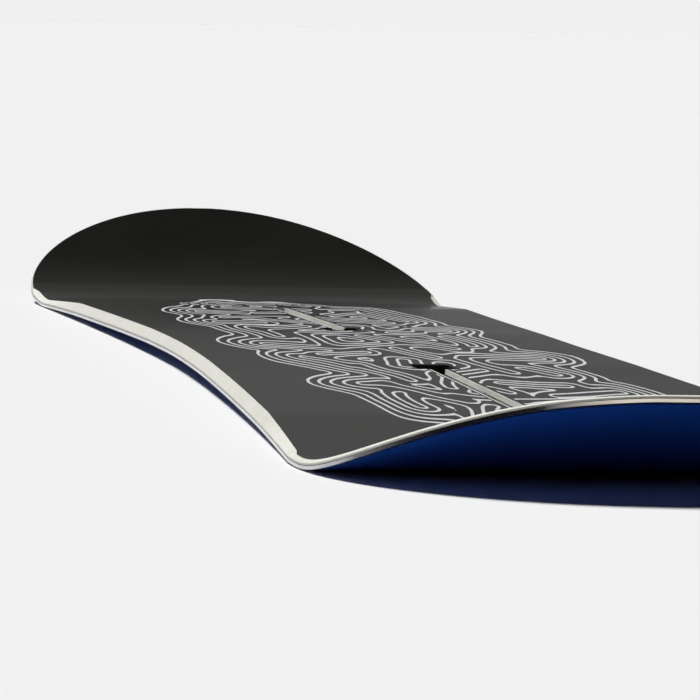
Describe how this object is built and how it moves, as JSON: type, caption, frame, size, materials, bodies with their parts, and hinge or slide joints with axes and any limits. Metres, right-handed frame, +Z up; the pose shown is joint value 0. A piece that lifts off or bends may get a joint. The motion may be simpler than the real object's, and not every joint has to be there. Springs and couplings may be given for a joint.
{
  "type": "snowboard",
  "caption": "Cambered directional snowboard with a dark top, off-white side walls, steel edge, blue base and slotted binding channels with sliding nuts.",
  "frame": {"origin": "on the floor, under the middle of the board's length and width", "axes": "+X along the board to the nose, +Y to its left, +Z up from the floor"},
  "size_m": [1.556, 0.296, 0.0615],
  "materials": {
    "base_blue": "ground and waxed running base, deep blue",
    "glass_laminate": "cured glass fibre and resin, pale green",
    "cap_black": "satin cap sheet, warm near-black with silvery line print",
    "edge_steel": "ground hardened edge",
    "foil_rubber": "damping rubber strip",
    "wall_plastic": "milled off-white wall plastic",
    "core_poplar": "planed light wood",
    "core_beech": "planed darker wood",
    "rail_plastic": "pale moulded rail",
    "pocket_black": "black moulded pocket",
    "nut_steel": "zinc-plated steel"
  },
  "bodies": {
    "board": {"base": "base_blue", "lower_glass": "glass_laminate", "upper_glass": "glass_laminate", "topsheet": "cap_black", "edge_left": "edge_steel", "edge_right": "edge_steel", "edge_nose": "edge_steel", "edge_tail": "edge_steel", "foil_left": "foil_rubber", "foil_right": "foil_rubber", "foil_nose": "foil_rubber", "foil_tail": "foil_rubber", "sidewall_left": "wall_plastic", "sidewall_right": "wall_plastic", "nose_spacer": "wall_plastic", "tail_spacer": "wall_plastic", "core_centre_nose": "core_poplar", "core_centre_middle": "core_poplar", "core_centre_tail": "core_poplar", "core_left_1": "core_beech", "core_left_2": "core_poplar", "core_left_3": "core_beech", "core_left_4": "core_poplar", "core_right_1": "core_beech", "core_right_2": "core_poplar", "core_right_3": "core_beech", "core_right_4": "core_poplar", "channel_rail_nose": "rail_plastic", "channel_rail_tail": "rail_plastic", "channel_pocket_nose": "pocket_black", "channel_pocket_tail": "pocket_black"},
    "nut_nose_outer": {"nut_nose_outer": "nut_steel"},
    "nut_nose_inner": {"nut_nose_inner": "nut_steel"},
    "nut_tail_outer": {"nut_tail_outer": "nut_steel"},
    "nut_tail_inner": {"nut_tail_inner": "nut_steel"}
  },
  "joints": [
    {"name": "nose_outer_slide", "type": "slide", "parent": "board", "child": "nut_nose_outer", "axis": [-0.9999, 0, 0.0122], "range_m": [0, 0.098]},
    {"name": "nose_inner_slide", "type": "slide", "parent": "board", "child": "nut_nose_inner", "axis": [-0.9999, 0, 0.0122], "range_m": [0, 0.098]},
    {"name": "tail_outer_slide", "type": "slide", "parent": "board", "child": "nut_tail_outer", "axis": [0.9999, 0, 0.0113], "range_m": [0, 0.098]},
    {"name": "tail_inner_slide", "type": "slide", "parent": "board", "child": "nut_tail_inner", "axis": [0.9999, 0, 0.0113], "range_m": [0, 0.098]}
  ]
}
